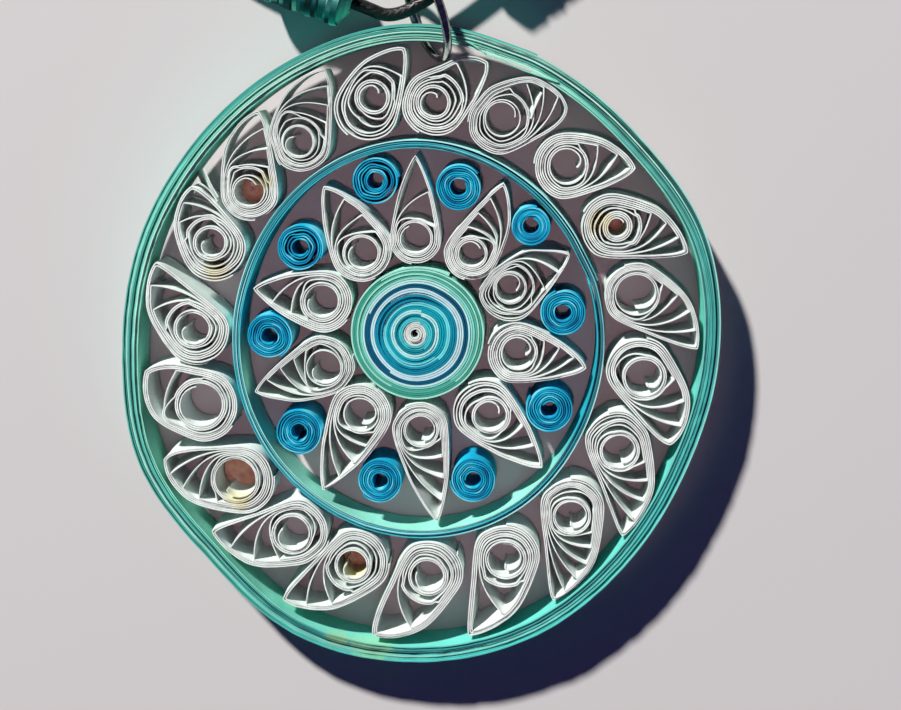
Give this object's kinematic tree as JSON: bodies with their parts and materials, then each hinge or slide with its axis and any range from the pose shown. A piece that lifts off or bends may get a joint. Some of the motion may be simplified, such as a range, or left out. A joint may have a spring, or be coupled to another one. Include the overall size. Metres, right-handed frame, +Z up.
{
  "type": "quilled paper art",
  "caption": "Round quilled paper pendant: wound rings, coils and teardrop petals of strip on edge, hung by a steel ring on a waxed cord with wound paper beads.",
  "frame": {"origin": "underside centre of the box of the pendant and its jump ring, on the table", "axes": "+X right, +Y to the hanging end, +Z up from the table on which the pendant lies face up"},
  "size_m": [0.0728, 0.1036, 0.0097],
  "materials": {
    "mint_paper": "matt",
    "teal_paper": "matt",
    "striped_paper": "matt",
    "white_paper": "matt",
    "blue_paper": "matt",
    "bead_paper": "matt",
    "steel": "polished wire",
    "waxed_cord": "waxed braid"
  },
  "bodies": {
    "root": {"outer_ring": "mint_paper", "middle_ring": "teal_paper", "centre_coil": "striped_paper", "inner_petal_01": "white_paper", "inner_petal_02": "white_paper", "inner_petal_03": "white_paper", "inner_petal_04": "white_paper", "inner_petal_05": "white_paper", "inner_petal_06": "white_paper", "inner_petal_07": "white_paper", "inner_petal_08": "white_paper", "inner_petal_09": "white_paper", "inner_petal_10": "white_paper", "outer_petal_01": "white_paper", "outer_petal_02": "white_paper", "outer_petal_03": "white_paper", "outer_petal_04": "white_paper", "outer_petal_05": "white_paper", "outer_petal_06": "white_paper", "outer_petal_07": "white_paper", "outer_petal_08": "white_paper", "outer_petal_09": "white_paper", "outer_petal_10": "white_paper", "outer_petal_11": "white_paper", "outer_petal_12": "white_paper", "outer_petal_13": "white_paper", "outer_petal_14": "white_paper", "outer_petal_15": "white_paper", "outer_petal_16": "white_paper", "outer_petal_17": "white_paper", "outer_petal_18": "white_paper", "outer_petal_19": "white_paper", "blue_coil_01": "blue_paper", "blue_coil_02": "blue_paper", "blue_coil_03": "blue_paper", "blue_coil_04": "blue_paper", "blue_coil_05": "blue_paper", "blue_coil_06": "blue_paper", "blue_coil_07": "blue_paper", "blue_coil_08": "blue_paper", "blue_coil_09": "blue_paper", "blue_coil_10": "blue_paper", "jump_ring": "steel", "bead_left": "bead_paper", "bead_right": "bead_paper", "neck_cord": "waxed_cord", "cord_coil": "waxed_cord", "crimp_left": "steel", "crimp_right": "steel"}
  },
  "joints": []
}
